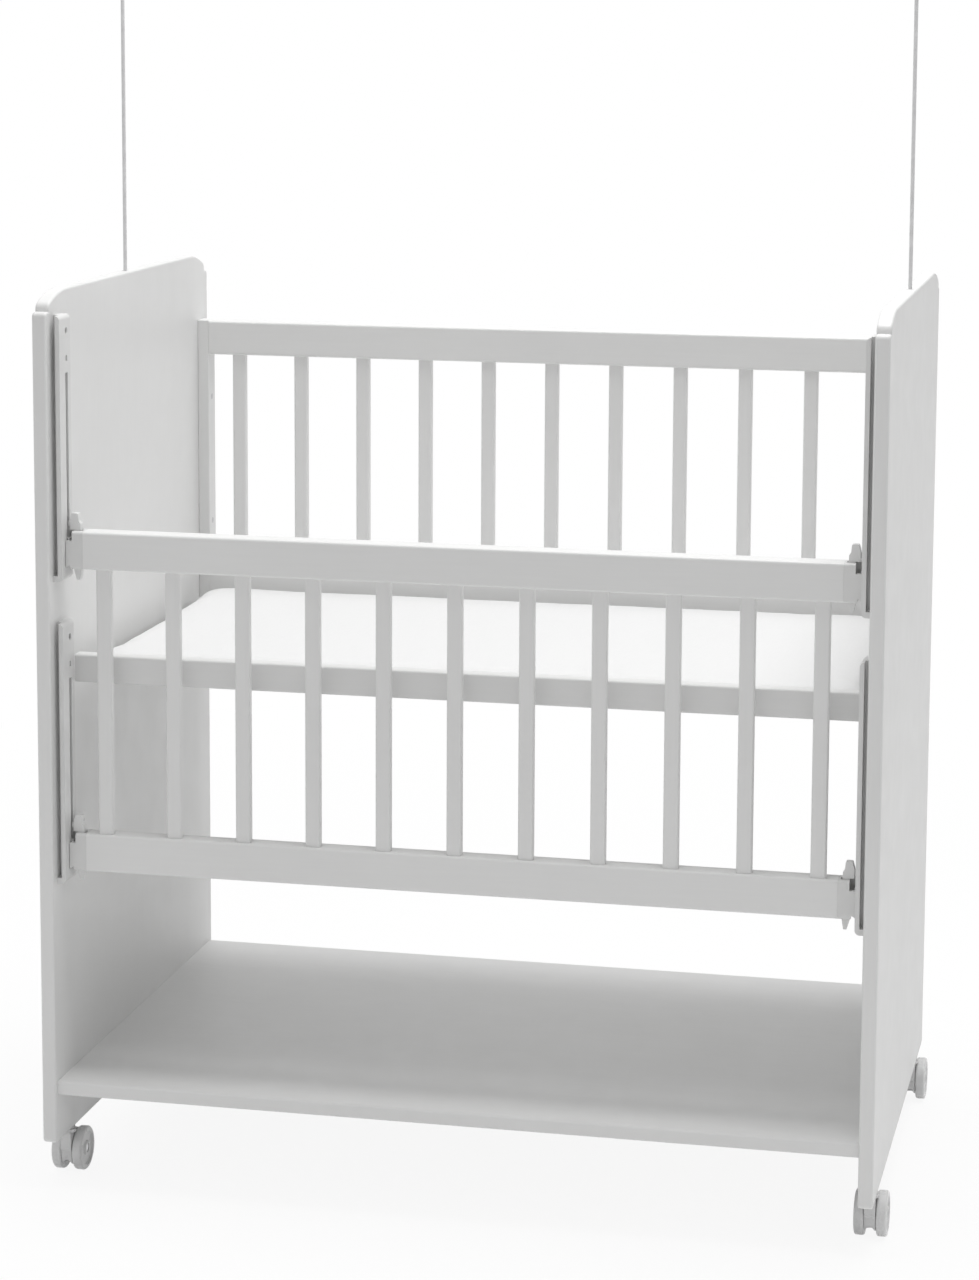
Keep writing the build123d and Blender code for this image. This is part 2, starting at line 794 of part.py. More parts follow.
mattress_z = board_z + bed_board_thick + soft_clear
with BuildPart() as mattress:
    sections = (
        (mattress_edge_r, 0.0),
        (0.0, mattress_edge_r * 0.7),
        (0.0, mattress_thick - mattress_edge_r * 0.7),
        (mattress_edge_r, mattress_thick),
        (70.0, mattress_thick + mattress_crown * 0.8),
        (130.0, mattress_thick + mattress_crown),
    )
    loft([drawn_in_outline(inset, mattress_z + rise) for inset, rise in sections], ruled=True)
finish(mattress.part, "mattress")

# Angle brackets that carry the bed base, and their screws
with BuildPart() as bed_brackets:
    for hand in HANDS:
        for y in bracket_ys:
            span = (y - bracket_width / 2, y + bracket_width / 2)
            block_add(hand, (0, bracket_thick), span, (bed_z - bracket_drop, bed_z))
            block_add(hand, (0, bracket_reach), span, (bed_z - bracket_thick, bed_z))
        with BuildSketch(facing_end(out_x(hand, 0))):
            with Locations(*bracket_screw_spots):
                Circle(screw_r + fit_clear)
        extrude(amount=outward(hand) * bracket_thick, mode=Mode.SUBTRACT)
        with BuildSketch(Plane.XY.offset(bed_z - bracket_thick)):
            with Locations(*[(out_x(hand, bed_screw_out), y) for y in bracket_ys]):
                Circle(screw_r + fit_clear)
        extrude(amount=bracket_thick, mode=Mode.SUBTRACT)
finish(bed_brackets.part, "bed_brackets")

bracket_screws = [
    screws_along_x(hand, bracket_screw_spots, bracket_thick + screw_head_thick,
                   bracket_thick + screw_in_panel)
    for hand in HANDS
]
for hand in HANDS:
    for y in bracket_ys:
        with BuildPart() as screw:
            with BuildSketch(Plane.XY.offset(bed_z - bracket_thick)):
                with Locations((out_x(hand, bed_screw_out), y)):
                    Circle(screw_head_r)
            extrude(amount=-screw_head_thick)
            with BuildSketch(Plane.XY.offset(bed_z - bracket_thick)):
                with Locations((out_x(hand, bed_screw_out), y)):
                    Circle(screw_r)
            extrude(amount=bracket_thick + bed_screw_reach - 1)
        bracket_screws.append(screw.part)
finish(group(bracket_screws), "bracket_screws")

guide_screws = []
for hand in HANDS:
    for level in LEVELS:
        spots = guide_screw_spots(level)
        guide_screws.append(screws_along_x(hand, spots, slot_floor,
                                           slot_floor - screw_head_thick + screw_in_panel))
finish(group(guide_screws), "guide_screws")

stile_screws = [
    screws_along_x(hand, stile_screw_spots, stile_width,
                   stile_width - screw_head_thick + screw_in_panel)
    for hand in HANDS
]
finish(group(stile_screws), "stile_screws")

# Dowels, cam studs and cams that hold the shelf and the back rails to the panels
dowels = []
studs = []
cams = []
fixed_boards = (
    (0, shelf_dowel_spots, shelf_stud_spots, shelf_z),
    (stile_width, back_dowel_spots[:1], back_stud_spots[:1], back_top_rail_z),
    (stile_width, back_dowel_spots[1:], back_stud_spots[1:], back_bottom_rail_z),
)
for hand in HANDS:
    way = outward(hand)
    for end_out, its_dowels, its_studs, under_z in fixed_boards:
        dowels.append(rod_along_x(its_dowels, dowel_r, out_x(hand, -dowel_in_panel),
                                  out_x(hand, end_out + dowel_in_board)))
        studs.append(rod_along_x(its_studs, stud_r, out_x(hand, -stud_in_panel),
                                 out_x(hand, end_out + stud_reach - 2)))
        cam_x = out_x(hand, end_out + cam_from_end)
        for y, z in its_studs:
            with BuildPart() as cam:
                with BuildSketch(Plane.XY.offset(under_z)):
                    with Locations((cam_x, y)):
                        Circle(cam_r)
                extrude(amount=cam_height)
                with BuildSketch(facing_end(cam_x - way * 2 * cam_r)):
                    with Locations((y, z)):
                        Circle(stud_r + fit_clear)
                extrude(amount=way * (2 * cam_r + stud_reach - cam_from_end), mode=Mode.SUBTRACT)
                with BuildSketch(Plane.XY.offset(under_z)):
                    with Locations((cam_x, y)):
                        Rectangle(cam_r, 1.4)
                        Rectangle(1.4, cam_r)
                extrude(amount=1.2, mode=Mode.SUBTRACT)
            cams.append(cam.part)
finish(group(dowels), "frame_dowels")
finish(group(studs), "cam_studs")
finish(group(cams), "cam_discs")


# Canopy hoop: two uprights in bushes, a bow and the sleeves that join them
def upright_x(hand):
    """X of a hoop end, on the middle of an end panel's thickness."""
    return out_x(hand, -panel_thick / 2)


bush_floor = 2.0
hoop_foot_z = crest_z - socket_depth + bush_floor
canopy_bushes = []
canopy_sleeves = []
for hand in HANDS:
    x = upright_x(hand)
    with BuildPart() as upright:
        with BuildSketch(Plane.XY.offset(hoop_foot_z + fit_clear)):
            with Locations((x, hoop_y)):
                Circle(hoop_r)
        extrude(amount=hoop_join_z - hoop_end_gap / 2 - hoop_foot_z - fit_clear)
    finish(upright.part, f"canopy_rod_{hand}")
    with BuildPart() as bush:
        with BuildSketch(Plane.XY.offset(crest_z - socket_depth)):
            with Locations((x, hoop_y)):
                Circle(socket_r)
        extrude(amount=socket_depth)
        with BuildSketch(Plane.XY.offset(hoop_foot_z)):
            with Locations((x, hoop_y)):
                Circle(hoop_r + hoop_clear)
        extrude(amount=socket_depth, mode=Mode.SUBTRACT)
    canopy_bushes.append(bush.part)
    with BuildPart() as sleeve:
        with BuildSketch(Plane.XY.offset(hoop_join_z - sleeve_length / 2)):
            with Locations((x, hoop_y)):
                Circle(sleeve_r)
                Circle(hoop_r + hoop_clear, mode=Mode.SUBTRACT)
        extrude(amount=sleeve_length)
    canopy_sleeves.append(sleeve.part)
finish(group(canopy_bushes), "canopy_bushes")
finish(group(canopy_sleeves), "canopy_sleeves")

with BuildPart() as bow:
    bow_foot_z = hoop_join_z + hoop_end_gap / 2
    with BuildLine(facing_front(hoop_y)) as bow_line:
        FilletPolyline(
            (upright_x("left"), bow_foot_z),
            (upright_x("left"), hoop_top_z - hoop_r),
            (upright_x("right"), hoop_top_z - hoop_r),
            (upright_x("right"), bow_foot_z),
            radius=hoop_bend_r,
        )
    with BuildSketch(Plane.XY.offset(bow_foot_z)):
        with Locations((upright_x("left"), hoop_y)):
            Circle(hoop_r)
    sweep(path=bow_line.line)
finish(bow.part, "canopy_bow")


# Casters. Each hangs under a panel's foot and trails towards the back at rest.
hood_top_z = foot_z - insert_collar_thick - 0.3
CORNERS = (("front_left", "left", caster_ys[0]), ("front_right", "right", caster_ys[0]),
           ("back_left", "left", caster_ys[1]), ("back_right", "right", caster_ys[1]))
stem_low_z = 2 * wheel_r - 20.0
stem_inserts = []
stems = []


def caster_hood(x, y):
    """Web between the wheels, with the stem's bore and a round cap on top."""
    axle_y = y + caster_trail
    nose_r = 9.0
    with BuildPart() as hood:
        with BuildSketch(facing_end(x - web_half)):
            with Locations((axle_y, wheel_r)):
                Circle(wheel_r - hood_rim)
            with BuildLine():
                Polyline((y - nose_r, hood_top_z - hood_cap_thick), (y - nose_r, stem_low_z + 2),
                         (y - nose_r + 4, stem_low_z - 4), (axle_y, wheel_r - 10),
                         (axle_y + 12, wheel_r + 10), (y + nose_r + 4, hood_top_z - hood_cap_thick),
                         close=True)
            make_face()
            with Locations((axle_y, 0)):
                Rectangle(4 * wheel_r, 2 * hood_above_floor, mode=Mode.SUBTRACT)
        extrude(amount=2 * web_half)
        with BuildSketch(Plane.XY.offset(hood_top_z - hood_cap_thick)):
            with Locations((x, y)):
                Circle(hood_cap_r)
        extrude(amount=hood_cap_thick)
        with BuildSketch(Plane.XY.offset(stem_low_z - stem_head_thick - 0.4)):
            with Locations((x, y)):
                Circle(stem_r + stem_clear)
        extrude(amount=hood_top_z, mode=Mode.SUBTRACT)
        with BuildSketch(Plane.XY.offset(0)):
            with Locations((x, y)):
                Circle(stem_head_r + 0.2)
        extrude(amount=stem_low_z, mode=Mode.SUBTRACT)
        with BuildSketch(facing_end(x - web_half)):
            with Locations((axle_y, wheel_r)):
                Circle(axle_r + fit_clear)
        extrude(amount=2 * web_half, mode=Mode.SUBTRACT)
    return hood.part


def caster_axle(x, y):
    """Axle with a flat head at each end."""
    axle_y = y + caster_trail
    reach = wheel_gap / 2 + wheel_width - hub_recess + 0.3
    with BuildPart() as axle:
        with BuildSketch(facing_end(x - reach)):
            with Locations((axle_y, wheel_r)):
                Circle(axle_r)
        extrude(amount=2 * reach)
        for side in (-1, 1):
            with BuildSketch(facing_end(x + side * reach)):
                with Locations((axle_y, wheel_r)):
                    Circle(axle_head_r)
            extrude(amount=side * axle_head_thick)
    return axle.part


def caster_wheel(x, y, side):
    """Wheel with a rounded tread, a hub ring and a dished outer face."""
    axle_y = y + caster_trail
    inner = wheel_gap / 2
    outer = inner + wheel_width
    hub_r = 6.5
    dish_r = wheel_r - 5.0
    dish = 1.6
    profile = [
        (axle_r + wheel_bore_clear, inner),
        (wheel_r, inner),
        (wheel_r, outer),
        (dish_r, outer),
        (dish_r - 1.5, outer - dish),
        (hub_r + 1.5, outer - dish),
        (hub_r, outer),
        (axle_head_r + 0.4, outer),
        (axle_head_r + 0.4, outer - hub_recess),
        (axle_r + wheel_bore_clear, outer - hub_recess),
    ]
    section = Plane(origin=(x, axle_y, wheel_r), x_dir=(0, 0, 1), z_dir=(0, -side, 0))
    with BuildPart() as wheel:
        with BuildSketch(section) as half:
            with BuildLine():
                Polyline(*[(r, out) for r, out in profile], close=True)
            make_face()
            rim = half.vertices().group_by(Axis.X)[-1]
            fillet(rim, tread_r)
        revolve(axis=Axis((x, axle_y, wheel_r), (1, 0, 0)))
    return wheel.part


for corner, hand, y in CORNERS:
    x = upright_x(hand)
    finish(caster_hood(x, y), f"caster_hood_{corner}")
    finish(caster_axle(x, y), f"caster_axle_{corner}")
    for side_name, side in (("inner", outward(hand)), ("outer", -outward(hand))):
        finish(caster_wheel(x, y, side), f"caster_wheel_{corner}_{side_name}")
    with BuildPart() as insert:
        with BuildSketch(Plane.XY.offset(foot_z - insert_collar_thick)):
            with Locations((x, y)):
                Circle(insert_collar_r)
        extrude(amount=insert_collar_thick)
        with BuildSketch(Plane.XY.offset(foot_z)):
            with Locations((x, y)):
                Circle(insert_r)
        extrude(amount=insert_depth)
        with BuildSketch(Plane.XY.offset(foot_z - insert_collar_thick)):
            with Locations((x, y)):
                Circle(stem_r + fit_clear)
        extrude(amount=insert_depth, mode=Mode.SUBTRACT)
    stem_inserts.append(insert.part)
    with BuildPart() as stem:
        with BuildSketch(Plane.XY.offset(stem_low_z)):
            with Locations((x, y)):
                Circle(stem_r)
        extrude(amount=foot_z + insert_depth - insert_collar_thick - 1 - stem_low_z)
        with BuildSketch(Plane.XY.offset(stem_low_z - stem_head_thick)):
            with Locations((x, y)):
                Circle(stem_head_r)
        extrude(amount=stem_head_thick)
    stems.append(stem.part)
finish(group(stem_inserts), "caster_inserts")
finish(group(stems), "caster_stems")
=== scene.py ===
import bpy
import bmesh
import math
from mathutils import Matrix, Vector, noise
from mathutils.bvhtree import BVHTree


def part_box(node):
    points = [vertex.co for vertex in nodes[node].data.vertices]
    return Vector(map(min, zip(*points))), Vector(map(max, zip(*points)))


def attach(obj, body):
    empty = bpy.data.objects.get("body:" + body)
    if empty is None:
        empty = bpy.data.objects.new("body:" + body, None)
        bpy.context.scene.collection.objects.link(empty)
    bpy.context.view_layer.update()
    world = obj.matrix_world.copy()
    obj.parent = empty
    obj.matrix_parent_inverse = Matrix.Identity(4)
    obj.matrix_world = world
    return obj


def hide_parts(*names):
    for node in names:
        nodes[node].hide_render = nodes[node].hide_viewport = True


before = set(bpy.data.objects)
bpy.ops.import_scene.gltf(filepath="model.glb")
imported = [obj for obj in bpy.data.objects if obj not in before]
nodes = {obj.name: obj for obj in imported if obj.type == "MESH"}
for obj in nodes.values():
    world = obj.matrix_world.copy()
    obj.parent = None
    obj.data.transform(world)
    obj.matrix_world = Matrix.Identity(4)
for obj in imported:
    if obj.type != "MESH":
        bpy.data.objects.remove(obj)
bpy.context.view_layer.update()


# Materials
class Surface:
    """A node material around one Principled shader, with its pattern in object space."""

    def __init__(self, name, rough=0.45, metallic=0.0):
        self.mat = bpy.data.materials.new(name)
        self.mat.use_nodes = True
        self.tree = self.mat.node_tree
        self.tree.nodes.clear()
        self.out = self.node("ShaderNodeOutputMaterial")
        self.bsdf = self.node("ShaderNodeBsdfPrincipled")
        self.bsdf.inputs["Roughness"].default_value = rough
        self.bsdf.inputs["Metallic"].default_value = metallic
        self.link(self.bsdf, "BSDF", self.out, "Surface")
        self.coords = self.node("ShaderNodeTexCoord")
        self.normal = None

    def node(self, kind, **settings):
        made = self.tree.nodes.new(kind)
        for key, value in settings.items():
            setattr(made, key, value)
        return made

    def link(self, a, out, b, into):
        self.tree.links.new(a.outputs[out], b.inputs[into])

    def mapped(self, scale):
        """Object coordinates in metres, scaled along each axis."""
        mapping = self.node("ShaderNodeMapping")
        mapping.inputs["Scale"].default_value = scale
        self.link(self.coords, "Object", mapping, "Vector")
        return mapping

    def noise(self, scale, detail=3.0, rough=0.5, stretch=(1, 1, 1)):
        made = self.node("ShaderNodeTexNoise")
        made.inputs["Scale"].default_value = scale
        made.inputs["Detail"].default_value = detail
        made.inputs["Roughness"].default_value = rough
        self.link(self.mapped(stretch), "Vector", made, "Vector")
        return made

    def ranged(self, source, out, low, high, a=0.3, b=0.7):
        """A value that runs from low to high as the source runs from a to b."""
        made = self.node("ShaderNodeMapRange")
        made.inputs["From Min"].default_value = a
        made.inputs["From Max"].default_value = b
        made.inputs["To Min"].default_value = low
        made.inputs["To Max"].default_value = high
        self.link(source, out, made, "Value")
        return made

    def ramp(self, source, out, stops):
        made = self.node("ShaderNodeValToRGB")
        ramp = made.color_ramp
        while len(ramp.elements) < len(stops):
            ramp.elements.new(0.5)
        for element, (place, colour) in zip(ramp.elements, stops):
            element.position = place
            element.color = (*colour, 1)
        self.link(source, out, made, "Fac")
        return made

    def bump(self, source, out, height, distance=0.001):
        made = self.node("ShaderNodeBump")
        made.inputs["Strength"].default_value = height
        made.inputs["Distance"].default_value = distance
        self.link(source, out, made, "Height")
        if self.normal is not None:
            self.link(self.normal, "Normal", made, "Normal")
        self.normal = made

    def soften(self, radius):
        """Edges catch the light as if they had this small radius."""
        made = self.node("ShaderNodeBevel", samples=6)
        made.inputs["Radius"].default_value = radius
        self.normal = made

    def colours(self, source, out, colour, stops):
        """Base colour that runs between shades of one colour."""
        tones = self.ramp(source, out, [(place, toned(colour, share)) for place, share in stops])
        self.link(tones, "Color", self.bsdf, "Base Color")

    def gloss(self, scale, low, high, detail=3.0):
        """Roughness that drifts in soft patches of this scale."""
        patches = self.ranged(self.noise(scale, detail), "Fac", low, high)
        self.link(patches, "Result", self.bsdf, "Roughness")

    def blend(self, first, first_out, second, second_out, share):
        """A value part-way from the first to the second."""
        made = self.node("ShaderNodeMix", data_type="FLOAT")
        made.inputs["Factor"].default_value = share
        self.link(first, first_out, made, "A")
        self.link(second, second_out, made, "B")
        return made

    def done(self):
        if self.normal is not None:
            self.link(self.normal, "Normal", self.bsdf, "Normal")
        return self.mat


def toned(colour, amount):
    return tuple(max(0.0, min(1.0, c * amount)) for c in colour)


def painted_wood(name, colour, along, grain=0.35, rough=0.42):
    """White paint over wood: roller texture, a trace of grain and a soft tone drift."""
    s = Surface(name, rough)
    s.soften(0.0006)
    stretch = [1.0, 1.0, 1.0]
    stretch[along] = 0.045
    fibre = s.noise(260, 4, 0.6, stretch)
    drift = s.noise(2.6, 2, 0.5)
    mix = s.blend(drift, "Fac", fibre, "Fac", 0.3)
    s.colours(mix, "Result", colour, [(0.3, 0.965), (0.7, 1.02)])
    s.gloss(38, rough - 0.06, rough + 0.07)
    s.bump(fibre, "Fac", grain * 0.25, 0.0003)
    s.bump(s.noise(900, 2, 0.5), "Fac", 0.12, 0.0002)
    return s.done()


def moulded(name, colour, rough=0.4, grain=1400, height=0.2, edge=0.0004):
    """Moulded plastic with a fine spark-eroded grain and slightly uneven gloss."""
    s = Surface(name, rough)
    s.soften(edge)
    s.bsdf.inputs["IOR"].default_value = 1.49
    s.colours(s.noise(22, 3), "Fac", colour, [(0.35, 0.965), (0.65, 1.02)])
    s.gloss(70, rough - 0.06, rough + 0.08)
    s.bump(s.noise(grain, 2), "Fac", height, 0.00015)
    return s.done()


def metal(name, colour, rough, along=None, metallic=1.0):
    """Plated or drawn metal with fine lines and cloudy roughness."""
    s = Surface(name, rough, metallic)
    s.soften(0.0002)
    stretch = [1.0, 1.0, 1.0]
    if along is not None:
        stretch[along] = 0.03
    lines = s.noise(1500, 3, 0.6, stretch)
    s.colours(s.noise(90, 4), "Fac", colour, [(0.3, 0.9), (0.7, 1.06)])
    s.gloss(130, rough - 0.07, rough + 0.1)
    s.bump(lines, "Fac", 0.15, 0.0001)
    return s.done()


def woven(name, colour):
    """Plain-weave cotton cover: crossed threads, small slubs and a soft sheen."""
    s = Surface(name, 0.85)
    s.bsdf.inputs["Sheen Weight"].default_value = 0.25
    s.bsdf.inputs["Sheen Roughness"].default_value = 0.5
    s.bsdf.inputs["Specular IOR Level"].default_value = 0.25
    threads = []
    for direction in ("X", "Y"):
        wave = s.node("ShaderNodeTexWave", wave_type="BANDS", bands_direction=direction)
        wave.inputs["Scale"].default_value = 320
        wave.inputs["Distortion"].default_value = 0.6
        wave.inputs["Detail"].default_value = 1.0
        s.link(s.mapped((1, 1, 1)), "Vector", wave, "Vector")
        threads.append(wave)
    weave = s.node("ShaderNodeMath", operation="MULTIPLY")
    s.link(threads[0], "Fac", weave, 0)
    s.link(threads[1], "Fac", weave, 1)
    slubs = s.noise(420, 3, 0.6, (1, 0.15, 1))
    mix = s.blend(weave, "Value", slubs, "Fac", 0.4)
    s.colours(mix, "Result", colour, [(0.1, 0.95), (0.75, 1.02)])
    s.bump(s.noise(9, 3, 0.55), "Fac", 0.25, 0.004)
    s.bump(weave, "Value", 0.25, 0.0003)
    return s.done()


WHITE = (0.80, 0.80, 0.795)
board_paint = painted_wood("board_paint", WHITE, 2, grain=0.15)
shelf_paint = painted_wood("shelf_paint", WHITE, 0, grain=0.15)
rail_paint = painted_wood("rail_paint", WHITE, 0)
slat_paint = painted_wood("slat_paint", WHITE, 2)
batten_paint = painted_wood("batten_paint", toned(WHITE, 0.98), 1)
hardboard = painted_wood("hardboard_paint", toned(WHITE, 0.95), 0, grain=0.5, rough=0.6)
beech = painted_wood("bare_beech", (0.56, 0.36, 0.19), 0, grain=1.0, rough=0.6)
guide_mat = moulded("guide_plastic", (0.74, 0.74, 0.735), 0.45)
shoe_mat = moulded("shoe_plastic", (0.72, 0.72, 0.715), 0.42)
latch_mat = moulded("latch_plastic", (0.76, 0.76, 0.755), 0.32, 1800, 0.12)
hood_mat = moulded("caster_plastic", (0.74, 0.74, 0.74), 0.3, 1800, 0.1)
wheel_mat = moulded("wheel_plastic", (0.78, 0.78, 0.78), 0.28, 1500, 0.1, 0.0005)
insert_mat = moulded("insert_plastic", (0.66, 0.66, 0.655), 0.5)
rod_mat = metal("hoop_coating", (0.76, 0.76, 0.765), 0.4, 2, 0.0)
bow_mat = metal("bow_coating", (0.76, 0.76, 0.765), 0.4, 0, 0.0)
sleeve_mat = metal("sleeve_metal", (0.62, 0.62, 0.63), 0.3, 2)
zinc = metal("zinc_plate", (0.60, 0.60, 0.61), 0.32)
bracket_mat = metal("bracket_coating", (0.74, 0.74, 0.74), 0.4, None, 0.0)
cast_mat = metal("die_cast", (0.52, 0.52, 0.53), 0.45)
fabric = woven("mattress_cover", (0.79, 0.79, 0.79))
seam_mat = woven("seam_tape", (0.76, 0.76, 0.76))

RULES = [
    ("end_panel", board_paint), ("back_slats", slat_paint), ("drop_side_slats", slat_paint),
    ("back_stiles", slat_paint), ("rail", rail_paint), ("shelf", shelf_paint),
    ("bed_board", hardboard), ("bed_back_batten", rail_paint), ("bed_end_battens", batten_paint),
    ("_guide", guide_mat), ("_shoe", shoe_mat), ("_latch", latch_mat),
    ("caster_hood", hood_mat), ("caster_wheel", wheel_mat), ("caster_inserts", insert_mat),
    ("canopy_bushes", insert_mat), ("canopy_rod", rod_mat), ("canopy_bow", bow_mat),
    ("canopy_sleeves", sleeve_mat), ("bed_brackets", bracket_mat), ("cam_discs", cast_mat),
    ("frame_dowels", beech), ("mattress", fabric),
]


def material_for(name):
    for part, material in RULES:
        if part in name:
            return material
    return zinc


for name, node in nodes.items():
    material = material_for(name)
    if not node.material_slots:
        node.data.materials.append(material)
    for place in node.material_slots:
        place.material = material


# Mattress
def rounded_outline(x0, x1, y0, y1, radius, draw_in, step):
    """Points round a rounded rectangle whose sides draw in between its corners."""
    mid_x, mid_y = (x0 + x1) / 2, (y0 + y1) / 2
    points = []
    corners = ((x1 - radius, y0 + radius, -90), (x1 - radius, y1 - radius, 0),
               (x0 + radius, y1 - radius, 90), (x0 + radius, y0 + radius, 180))
    for index, (cx, cy, start) in enumerate(corners):
        for k in range(9):
            a = math.radians(start + 90 * k / 8)
            points.append((cx + radius * math.cos(a), cy + radius * math.sin(a)))
        nx, ny, turn = corners[(index + 1) % 4]
        a = math.radians(start + 90)
        ax, ay = cx + radius * math.cos(a), cy + radius * math.sin(a)
        a = math.radians(turn)
        bx, by = nx + radius * math.cos(a), ny + radius * math.sin(a)
        count = max(2, int(math.hypot(bx - ax, by - ay) / step))
        for k in range(1, count):
            t = k / count
            x, y = ax + (bx - ax) * t, ay + (by - ay) * t
            bow = draw_in * math.sin(math.pi * t)
            if index % 2 == 0:
                x += -bow if x > mid_x else bow
            else:
                y += -bow if y > mid_y else bow
            points.append((x, y))
    return points


low, high = (Vector(c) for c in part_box("mattress"))
# The slab before it swells: its insets from the CAD pad, corner radius and side bow
SIDE_INSET = 0.0035
BASE_LIFT = 0.0015
TOP_DROP = 0.0065
PAD_CORNER = 0.028
PAD_BOW = 0.003
PAD_STEP = 0.02
VOXEL = 0.005
# The swelling, the crown on top and how far past the CAD pad's box the skin may go
CLOTH_FRAMES = 20
PRESSURE = 4.0
SWELL_LIMIT = 0.0045
CROWN = 0.0028
CROWN_RISE = 22
BASE_MARGIN = 0.0002
TOP_SLACK = 0.0005
SIDE_SLACK = 0.0003
# The sewn edges
SEAM_CORNER = 0.03
SEAM_BOW = 0.002
SEAM_STEP = 0.008
SEAM_RADIUS = 0.0009
SEAM_BELOW_TOP = 0.0062
SEAM_ABOVE_BASE = 0.0032


def pad_mesh():
    """The pad before it swells: a thin flat slab with rounded corners and drawn-in sides, inside
    the CAD solid; the crown is added after the swelling.
    """
    outline = rounded_outline(low.x + SIDE_INSET, high.x - SIDE_INSET,
                              low.y + SIDE_INSET, high.y - SIDE_INSET,
                              PAD_CORNER, PAD_BOW, PAD_STEP)
    mesh = bmesh.new()
    z0, z1 = low.z + BASE_LIFT, high.z - TOP_DROP
    bottom = [mesh.verts.new((x, y, z0)) for x, y in outline]
    top = [mesh.verts.new((x, y, z1)) for x, y in outline]
    mesh.faces.new(list(reversed(bottom)))
    mesh.faces.new(top)
    for k in range(len(outline)):
        n = (k + 1) % len(outline)
        mesh.faces.new((bottom[k], bottom[n], top[n], top[k]))
    data = bpy.data.meshes.new("mattress_pad")
    mesh.to_mesh(data)
    mesh.free()
    return data


def apply_all(obj):
    """Freeze an object's modifiers into its mesh."""
    view = bpy.context.evaluated_depsgraph_get()
    view.update()
    data = bpy.data.meshes.new_from_object(obj.evaluated_get(view))
    obj.modifiers.clear()
    obj.data = data


mattress = bpy.data.objects.new("mattress_pad", pad_mesh())
bpy.context.scene.collection.objects.link(mattress)
remesh = mattress.modifiers.new("remesh", "REMESH")
remesh.mode = "VOXEL"
remesh.voxel_size = VOXEL
apply_all(mattress)
start = [v.co.copy() for v in mattress.data.vertices]

cloth = mattress.modifiers.new("cloth", "CLOTH")
cloth.settings.use_pressure = True
cloth.settings.uniform_pressure_force = PRESSURE
cloth.settings.effector_weights.gravity = 0.0
cloth.settings.quality = 5
cloth.settings.tension_stiffness = 12
cloth.settings.bending_stiffness = 0.4
cloth.point_cache.frame_start = 1
cloth.point_cache.frame_end = CLOTH_FRAMES
scene = bpy.context.scene
for number in range(1, CLOTH_FRAMES + 1):
    scene.frame_set(number)
apply_all(mattress)
scene.frame_set(1)

span_x, span_y = high.x - low.x, high.y - low.y
for vertex, before in zip(mattress.data.vertices, start):
    move = vertex.co - before
    if move.length > SWELL_LIMIT:
        move = move * (SWELL_LIMIT / move.length)
    place = before + move
    u = (place.x - low.x) / span_x
    v = (place.y - low.y) / span_y
    rim = max(0.0, min(u, 1 - u, v * span_y / span_x, (1 - v) * span_y / span_x))
    crown = CROWN * (1 - math.exp(-rim * CROWN_RISE))
    if place.z > (low.z + high.z) / 2:
        ripple = noise.noise(Vector((place.x * 9, place.y * 14, 0.3))) * 0.0007
        ripple += noise.noise(Vector((place.x * 26, place.y * 34, 4.1))) * 0.00025
        place.z += crown + ripple
    place.z = min(max(place.z, low.z + BASE_MARGIN), high.z + TOP_SLACK)
    place.x = min(max(place.x, low.x - SIDE_SLACK), high.x + SIDE_SLACK)
    place.y = min(max(place.y, low.y - SIDE_SLACK), high.y + SIDE_SLACK)
    vertex.co = place
smooth = mattress.modifiers.new("smooth", "CORRECTIVE_SMOOTH")
smooth.iterations = 3
smooth.use_only_smooth = True
divide = mattress.modifiers.new("divide", "SUBSURF")
divide.levels = 1
divide.render_levels = 1
apply_all(mattress)
mattress.data.shade_smooth()
mattress.data.materials.clear()
mattress.data.materials.append(fabric)


def seam(name, height):
    """A sewn edge that follows the pad's side at this height."""
    skin = BVHTree.FromObject(mattress, bpy.context.evaluated_depsgraph_get())
    curve = bpy.data.curves.new(name, "CURVE")
    curve.dimensions = "3D"
    curve.bevel_depth = SEAM_RADIUS
    curve.bevel_resolution = 3
    points = rounded_outline(low.x, high.x, low.y, high.y, SEAM_CORNER, SEAM_BOW, SEAM_STEP)
    line = curve.splines.new("POLY")
    line.points.add(len(points) - 1)
    for point, (x, y) in zip(line.points, points):
        place = skin.find_nearest(Vector((x, y, height)))[0]
        point.co = (place.x, place.y, place.z, 1)
    line.use_cyclic_u = True
    made = bpy.data.objects.new(name, curve)
    bpy.context.scene.collection.objects.link(made)
    curve.materials.append(seam_mat)
    return made


seams = [seam("mattress_seam_top", high.z - SEAM_BELOW_TOP),
         seam("mattress_seam_bottom", low.z + SEAM_ABOVE_BASE)]
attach(mattress, "frame")
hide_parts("mattress")
for piece in seams:
    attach(piece, "frame")


# Floor and light
class Nodes:
    """A short way to add and join nodes in one tree."""

    def __init__(self, tree, output):
        self.tree = tree
        tree.nodes.clear()
        self.out = tree.nodes.new(output)

    def add(self, kind, operation=None, **inputs):
        made = self.tree.nodes.new(kind)
        if operation:
            made.operation = operation
        for key, value in inputs.items():
            made.inputs[key.replace("_", " ")].default_value = value
        return made

    def join(self, a, out, b, into):
        self.tree.links.new(a.outputs[out], b.inputs[into])

    def seen_by(self, *kinds):
        """One for rays of either of two kinds, nought for the rest."""
        rays = self.add("ShaderNodeLightPath")
        either = self.add("ShaderNodeMath", "MAXIMUM")
        for place, kind in enumerate(kinds):
            self.join(rays, kind, either, place)
        return either

    def finish(self, share, first, second):
        """Mix two shaders by a share and send them to the output."""
        mix = self.add("ShaderNodeMixShader")
        self.join(share, 0, mix, 0)
        self.join(first, 0, mix, 1)
        self.join(second, 0, mix, 2)
        self.join(mix, 0, self.out, "Surface")


FLOOR_HALF = 14.0
FLOOR_TONE = (0.92, 0.92, 0.92, 1)
PURE_WHITE = (1, 1, 1, 1)
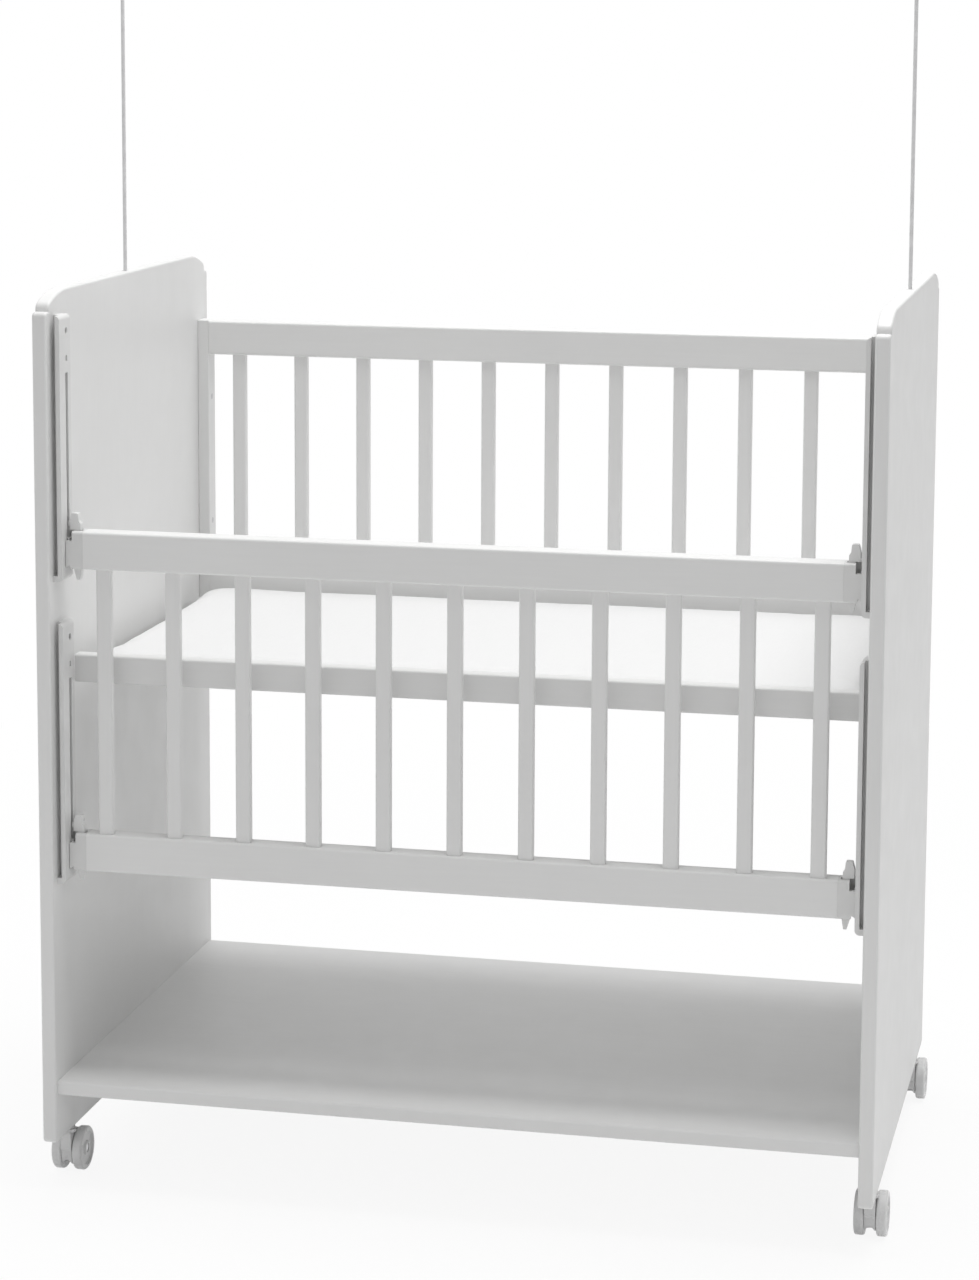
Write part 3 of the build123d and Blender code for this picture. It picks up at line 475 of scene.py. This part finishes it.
# Near the crib the floor keeps its shadow. Further out it fades to the backdrop's white.
FADE_FROM, FADE_TO = 0.8, 2.2
WHITE_NEAR, WHITE_FAR = 0.9, 1.0


def backdrop():
    mesh = bpy.data.meshes.new("floor")
    corners = [(x * FLOOR_HALF, y * FLOOR_HALF, 0) for x, y in ((-1, -1), (1, -1), (1, 1), (-1, 1))]
    mesh.from_pydata(corners, [], [(0, 1, 2, 3)])
    floor = bpy.data.objects.new("floor", mesh)
    bpy.context.scene.collection.objects.link(floor)
    mat = bpy.data.materials.new("floor_white")
    mat.use_nodes = True
    n = Nodes(mat.node_tree, "ShaderNodeOutputMaterial")
    matt = n.add("ShaderNodeBsdfDiffuse", Color=FLOOR_TONE)
    glow = n.add("ShaderNodeEmission", Color=PURE_WHITE, Strength=1.0)
    seen = n.seen_by("Is Camera Ray", "Is Glossy Ray")
    place = n.add("ShaderNodeTexCoord")
    away = n.add("ShaderNodeVectorMath", "LENGTH")
    n.join(place, "Object", away, 0)
    fade = n.add("ShaderNodeMapRange", From_Min=FADE_FROM, From_Max=FADE_TO,
                 To_Min=WHITE_NEAR, To_Max=WHITE_FAR)
    fade.interpolation_type = "SMOOTHSTEP"
    n.join(away, "Value", fade, "Value")
    amount = n.add("ShaderNodeMath", "MULTIPLY")
    n.join(seen, 0, amount, 0)
    n.join(fade, 0, amount, 1)
    n.finish(amount, matt, glow)
    mesh.materials.append(mat)
    return floor


backdrop()

# The fill light's level, and how it changes along X, Y and Z
FILL_LEVEL = 0.485
FILL_SLOPE = (-0.08, 0.18, 0.2)
world = bpy.data.worlds.new("studio")
bpy.context.scene.world = world
world.use_nodes = True
n = Nodes(world.node_tree, "ShaderNodeOutputWorld")
fill = n.add("ShaderNodeBackground", Color=PURE_WHITE)
sky = n.add("ShaderNodeTexCoord")
slope = n.add("ShaderNodeVectorMath", "DOT_PRODUCT")
slope.inputs[1].default_value = FILL_SLOPE
n.join(sky, "Generated", slope, 0)
level = n.add("ShaderNodeMath", "ADD")
level.inputs[1].default_value = FILL_LEVEL
n.join(slope, "Value", level, 0)
n.join(level, 0, fill, "Strength")
white = n.add("ShaderNodeBackground", Color=PURE_WHITE, Strength=1.0)
n.finish(n.seen_by("Is Camera Ray", "Is Transmission Ray"), fill, white)


def lamp(name, direction, distance, size, watts, target=(0, 0, 0.55)):
    """A square soft box that faces the crib."""
    data = bpy.data.lights.new(name, "AREA")
    data.size = size
    data.energy = watts
    made = bpy.data.objects.new(name, data)
    bpy.context.scene.collection.objects.link(made)
    away = Vector(direction).normalized()
    made.location = Vector(target) + away * distance
    made.rotation_euler = away.to_track_quat("Z", "Y").to_euler()


lamp("top_softbox", (0.1, 0.02, 1.0), 3.2, 2.0, 75)

# Camera, at the photograph's viewing angle
FOCAL_PIXELS = 3329
PICTURE_HEIGHT = 1280
SENSOR = 36
CAMERA_SHIFT = -0.15
CAMERA_PLACE = (0.732, -3.4205, 1.238)
YAW, PITCH, ROLL = 12.38, 7.83, 0.27
camera = bpy.data.objects.new("camera", bpy.data.cameras.new("camera"))
bpy.context.scene.collection.objects.link(camera)
camera.data.sensor_width = SENSOR
camera.data.lens = FOCAL_PIXELS / PICTURE_HEIGHT * SENSOR
camera.data.shift_y = CAMERA_SHIFT
turn = Matrix.Rotation(math.radians(YAW), 4, "Z")
tilt = Matrix.Rotation(math.radians(90 - PITCH), 4, "X")
roll = Matrix.Rotation(math.radians(ROLL), 4, "Z")
camera.matrix_world = Matrix.Translation(CAMERA_PLACE) @ turn @ tilt @ roll
bpy.context.scene.camera = camera
bpy.context.scene.view_settings.view_transform = "Standard"
